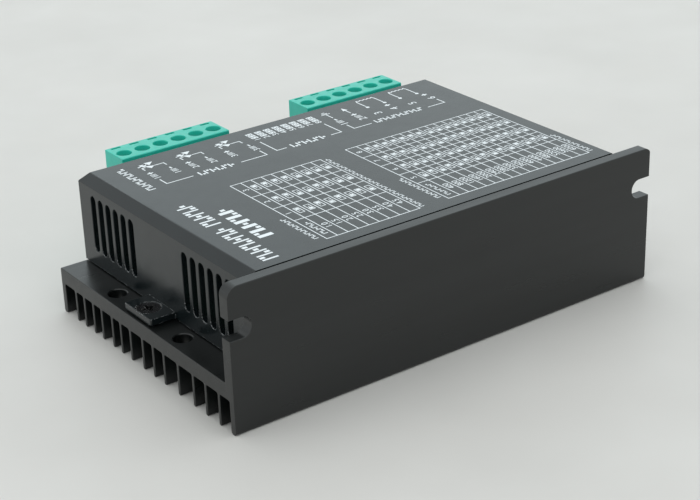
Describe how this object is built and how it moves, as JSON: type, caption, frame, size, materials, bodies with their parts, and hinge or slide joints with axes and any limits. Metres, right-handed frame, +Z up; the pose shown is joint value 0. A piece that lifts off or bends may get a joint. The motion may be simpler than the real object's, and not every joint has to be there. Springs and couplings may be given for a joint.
{
  "type": "stepper driver module",
  "caption": "Flat finned heat-sink module with a folded black cover, end vents, a switch bank and two pull-off green screw-terminal plugs on one long side.",
  "frame": {"origin": "centre of the underside of the whole envelope, on the plane of the fin tips, plugs fully home", "axes": "+X along the extrusion towards the power plug's end, +Y out of the terminal side, away from the flat side plate, +Z up from the fin tips to the cover top"},
  "size_m": [0.118, 0.0882, 0.034],
  "materials": {
    "anodised_sink": "black anodised, satin, with fine drawing lines along the extrusion",
    "black_cover": "fine satin black powder paint",
    "black_screw": "black oxide steel, slightly oily",
    "zinc_steel": "bright zinc plated steel",
    "nylon": "natural nylon",
    "board_laminate": "green solder mask over glass laminate",
    "terminal_green": "moulded teal green polyamide, fine satin",
    "switch_red": "moulded red plastic",
    "switch_white": "moulded white plastic",
    "lamp_lens": "tinted epoxy lens",
    "capacitor_sleeve": "heat-shrunk sleeve",
    "chip_epoxy": "matt moulded epoxy",
    "silicone_pad": "soft grey silicone sheet",
    "white_print": "thin white screen-printed ink",
    "tinned_contact": "tin plated brass"
  },
  "bodies": {
    "root": {"heatsink_base": "anodised_sink", "cover": "black_cover", "cover_screw_left": "black_screw", "cover_screw_right": "black_screw", "main_board": "board_laminate", "board_spacer_1": "nylon", "board_screw_1": "zinc_steel", "board_spacer_2": "nylon", "board_screw_2": "zinc_steel", "board_spacer_3": "nylon", "board_screw_3": "zinc_steel", "board_spacer_4": "nylon", "board_screw_4": "zinc_steel", "status_lamp": "lamp_lens", "microcontroller": "chip_epoxy", "bulk_capacitor_1": "capacitor_sleeve", "bulk_capacitor_2": "capacitor_sleeve", "thermal_pad": "silicone_pad", "half_bridge_1": "chip_epoxy", "half_bridge_2": "chip_epoxy", "half_bridge_3": "chip_epoxy", "half_bridge_4": "chip_epoxy", "dip_switch_body": "switch_red", "signal_header": "terminal_green", "power_header": "terminal_green"},
    "dip_slider_1": {"dip_slider_1": "switch_white"},
    "dip_slider_2": {"dip_slider_2": "switch_white"},
    "dip_slider_3": {"dip_slider_3": "switch_white"},
    "dip_slider_4": {"dip_slider_4": "switch_white"},
    "dip_slider_5": {"dip_slider_5": "switch_white"},
    "dip_slider_6": {"dip_slider_6": "switch_white"},
    "dip_slider_7": {"dip_slider_7": "switch_white"},
    "dip_slider_8": {"dip_slider_8": "switch_white"},
    "signal_plug": {"signal_plug": "terminal_green"},
    "signal_screw_1": {"signal_screw_1": "zinc_steel"},
    "signal_clamp_1": {"signal_clamp_1": "zinc_steel"},
    "signal_screw_2": {"signal_screw_2": "zinc_steel"},
    "signal_clamp_2": {"signal_clamp_2": "zinc_steel"},
    "signal_screw_3": {"signal_screw_3": "zinc_steel"},
    "signal_clamp_3": {"signal_clamp_3": "zinc_steel"},
    "signal_screw_4": {"signal_screw_4": "zinc_steel"},
    "signal_clamp_4": {"signal_clamp_4": "zinc_steel"},
    "signal_screw_5": {"signal_screw_5": "zinc_steel"},
    "signal_clamp_5": {"signal_clamp_5": "zinc_steel"},
    "signal_screw_6": {"signal_screw_6": "zinc_steel"},
    "signal_clamp_6": {"signal_clamp_6": "zinc_steel"},
    "power_plug": {"power_plug": "terminal_green"},
    "power_screw_1": {"power_screw_1": "zinc_steel"},
    "power_clamp_1": {"power_clamp_1": "zinc_steel"},
    "power_screw_2": {"power_screw_2": "zinc_steel"},
    "power_clamp_2": {"power_clamp_2": "zinc_steel"},
    "power_screw_3": {"power_screw_3": "zinc_steel"},
    "power_clamp_3": {"power_clamp_3": "zinc_steel"},
    "power_screw_4": {"power_screw_4": "zinc_steel"},
    "power_clamp_4": {"power_clamp_4": "zinc_steel"},
    "power_screw_5": {"power_screw_5": "zinc_steel"},
    "power_clamp_5": {"power_clamp_5": "zinc_steel"},
    "power_screw_6": {"power_screw_6": "zinc_steel"},
    "power_clamp_6": {"power_clamp_6": "zinc_steel"}
  },
  "joints": [
    {"name": "dip_1_switch", "type": "slide", "parent": "root", "child": "dip_slider_1", "axis": [0, 0, 1], "range_m": [0, 0.0018]},
    {"name": "dip_2_switch", "type": "slide", "parent": "root", "child": "dip_slider_2", "axis": [0, 0, 1], "range_m": [0, 0.0018]},
    {"name": "dip_3_switch", "type": "slide", "parent": "root", "child": "dip_slider_3", "axis": [0, 0, 1], "range_m": [0, 0.0018]},
    {"name": "dip_4_switch", "type": "slide", "parent": "root", "child": "dip_slider_4", "axis": [0, 0, 1], "range_m": [0, 0.0018]},
    {"name": "dip_5_switch", "type": "slide", "parent": "root", "child": "dip_slider_5", "axis": [0, 0, 1], "range_m": [0, 0.0018]},
    {"name": "dip_6_switch", "type": "slide", "parent": "root", "child": "dip_slider_6", "axis": [0, 0, 1], "range_m": [0, 0.0018]},
    {"name": "dip_7_switch", "type": "slide", "parent": "root", "child": "dip_slider_7", "axis": [0, 0, 1], "range_m": [0, 0.0018]},
    {"name": "dip_8_switch", "type": "slide", "parent": "root", "child": "dip_slider_8", "axis": [0, 0, 1], "range_m": [0, 0.0018]},
    {"name": "signal_plug_pull", "type": "slide", "parent": "root", "child": "signal_plug", "axis": [0, 1, 0], "range_m": [0, 0.01]},
    {"name": "signal_screw_1_turn", "type": "hinge", "parent": "signal_plug", "child": "signal_screw_1", "pos_m": [-0.03545, 0.039, 0.0288], "axis": [0, 0, -1], "range_deg": [0, 1800]},
    {"name": "signal_clamp_1_rise", "type": "slide", "parent": "signal_plug", "child": "signal_clamp_1", "axis": [0, 0, 1], "range_m": [0, 0.0025]},
    {"name": "signal_screw_2_turn", "type": "hinge", "parent": "signal_plug", "child": "signal_screw_2", "pos_m": [-0.03037, 0.039, 0.0288], "axis": [0, 0, -1], "range_deg": [0, 1800]},
    {"name": "signal_clamp_2_rise", "type": "slide", "parent": "signal_plug", "child": "signal_clamp_2", "axis": [0, 0, 1], "range_m": [0, 0.0025]},
    {"name": "signal_screw_3_turn", "type": "hinge", "parent": "signal_plug", "child": "signal_screw_3", "pos_m": [-0.02529, 0.039, 0.0288], "axis": [0, 0, -1], "range_deg": [0, 1800]},
    {"name": "signal_clamp_3_rise", "type": "slide", "parent": "signal_plug", "child": "signal_clamp_3", "axis": [0, 0, 1], "range_m": [0, 0.0025]},
    {"name": "signal_screw_4_turn", "type": "hinge", "parent": "signal_plug", "child": "signal_screw_4", "pos_m": [-0.02021, 0.039, 0.0288], "axis": [0, 0, -1], "range_deg": [0, 1800]},
    {"name": "signal_clamp_4_rise", "type": "slide", "parent": "signal_plug", "child": "signal_clamp_4", "axis": [0, 0, 1], "range_m": [0, 0.0025]},
    {"name": "signal_screw_5_turn", "type": "hinge", "parent": "signal_plug", "child": "signal_screw_5", "pos_m": [-0.01513, 0.039, 0.0288], "axis": [0, 0, -1], "range_deg": [0, 1800]},
    {"name": "signal_clamp_5_rise", "type": "slide", "parent": "signal_plug", "child": "signal_clamp_5", "axis": [0, 0, 1], "range_m": [0, 0.0025]},
    {"name": "signal_screw_6_turn", "type": "hinge", "parent": "signal_plug", "child": "signal_screw_6", "pos_m": [-0.01005, 0.039, 0.0288], "axis": [0, 0, -1], "range_deg": [0, 1800]},
    {"name": "signal_clamp_6_rise", "type": "slide", "parent": "signal_plug", "child": "signal_clamp_6", "axis": [0, 0, 1], "range_m": [0, 0.0025]},
    {"name": "power_plug_pull", "type": "slide", "parent": "root", "child": "power_plug", "axis": [0, 1, 0], "range_m": [0, 0.01]},
    {"name": "power_screw_1_turn", "type": "hinge", "parent": "power_plug", "child": "power_screw_1", "pos_m": [0.0188, 0.039, 0.0288], "axis": [0, 0, -1], "range_deg": [0, 1800]},
    {"name": "power_clamp_1_rise", "type": "slide", "parent": "power_plug", "child": "power_clamp_1", "axis": [0, 0, 1], "range_m": [0, 0.0025]},
    {"name": "power_screw_2_turn", "type": "hinge", "parent": "power_plug", "child": "power_screw_2", "pos_m": [0.02388, 0.039, 0.0288], "axis": [0, 0, -1], "range_deg": [0, 1800]},
    {"name": "power_clamp_2_rise", "type": "slide", "parent": "power_plug", "child": "power_clamp_2", "axis": [0, 0, 1], "range_m": [0, 0.0025]},
    {"name": "power_screw_3_turn", "type": "hinge", "parent": "power_plug", "child": "power_screw_3", "pos_m": [0.02896, 0.039, 0.0288], "axis": [0, 0, -1], "range_deg": [0, 1800]},
    {"name": "power_clamp_3_rise", "type": "slide", "parent": "power_plug", "child": "power_clamp_3", "axis": [0, 0, 1], "range_m": [0, 0.0025]},
    {"name": "power_screw_4_turn", "type": "hinge", "parent": "power_plug", "child": "power_screw_4", "pos_m": [0.03404, 0.039, 0.0288], "axis": [0, 0, -1], "range_deg": [0, 1800]},
    {"name": "power_clamp_4_rise", "type": "slide", "parent": "power_plug", "child": "power_clamp_4", "axis": [0, 0, 1], "range_m": [0, 0.0025]},
    {"name": "power_screw_5_turn", "type": "hinge", "parent": "power_plug", "child": "power_screw_5", "pos_m": [0.03912, 0.039, 0.0288], "axis": [0, 0, -1], "range_deg": [0, 1800]},
    {"name": "power_clamp_5_rise", "type": "slide", "parent": "power_plug", "child": "power_clamp_5", "axis": [0, 0, 1], "range_m": [0, 0.0025]},
    {"name": "power_screw_6_turn", "type": "hinge", "parent": "power_plug", "child": "power_screw_6", "pos_m": [0.0442, 0.039, 0.0288], "axis": [0, 0, -1], "range_deg": [0, 1800]},
    {"name": "power_clamp_6_rise", "type": "slide", "parent": "power_plug", "child": "power_clamp_6", "axis": [0, 0, 1], "range_m": [0, 0.0025]}
  ],
  "couplings": [
    {"joint": "signal_screw_1_turn", "follows": "signal_clamp_1_rise", "rad_per_m": 12566},
    {"joint": "signal_screw_2_turn", "follows": "signal_clamp_2_rise", "rad_per_m": 12566},
    {"joint": "signal_screw_3_turn", "follows": "signal_clamp_3_rise", "rad_per_m": 12566},
    {"joint": "signal_screw_4_turn", "follows": "signal_clamp_4_rise", "rad_per_m": 12566},
    {"joint": "signal_screw_5_turn", "follows": "signal_clamp_5_rise", "rad_per_m": 12566},
    {"joint": "signal_screw_6_turn", "follows": "signal_clamp_6_rise", "rad_per_m": 12566},
    {"joint": "power_screw_1_turn", "follows": "power_clamp_1_rise", "rad_per_m": 12566},
    {"joint": "power_screw_2_turn", "follows": "power_clamp_2_rise", "rad_per_m": 12566},
    {"joint": "power_screw_3_turn", "follows": "power_clamp_3_rise", "rad_per_m": 12566},
    {"joint": "power_screw_4_turn", "follows": "power_clamp_4_rise", "rad_per_m": 12566},
    {"joint": "power_screw_5_turn", "follows": "power_clamp_5_rise", "rad_per_m": 12566},
    {"joint": "power_screw_6_turn", "follows": "power_clamp_6_rise", "rad_per_m": 12566}
  ]
}
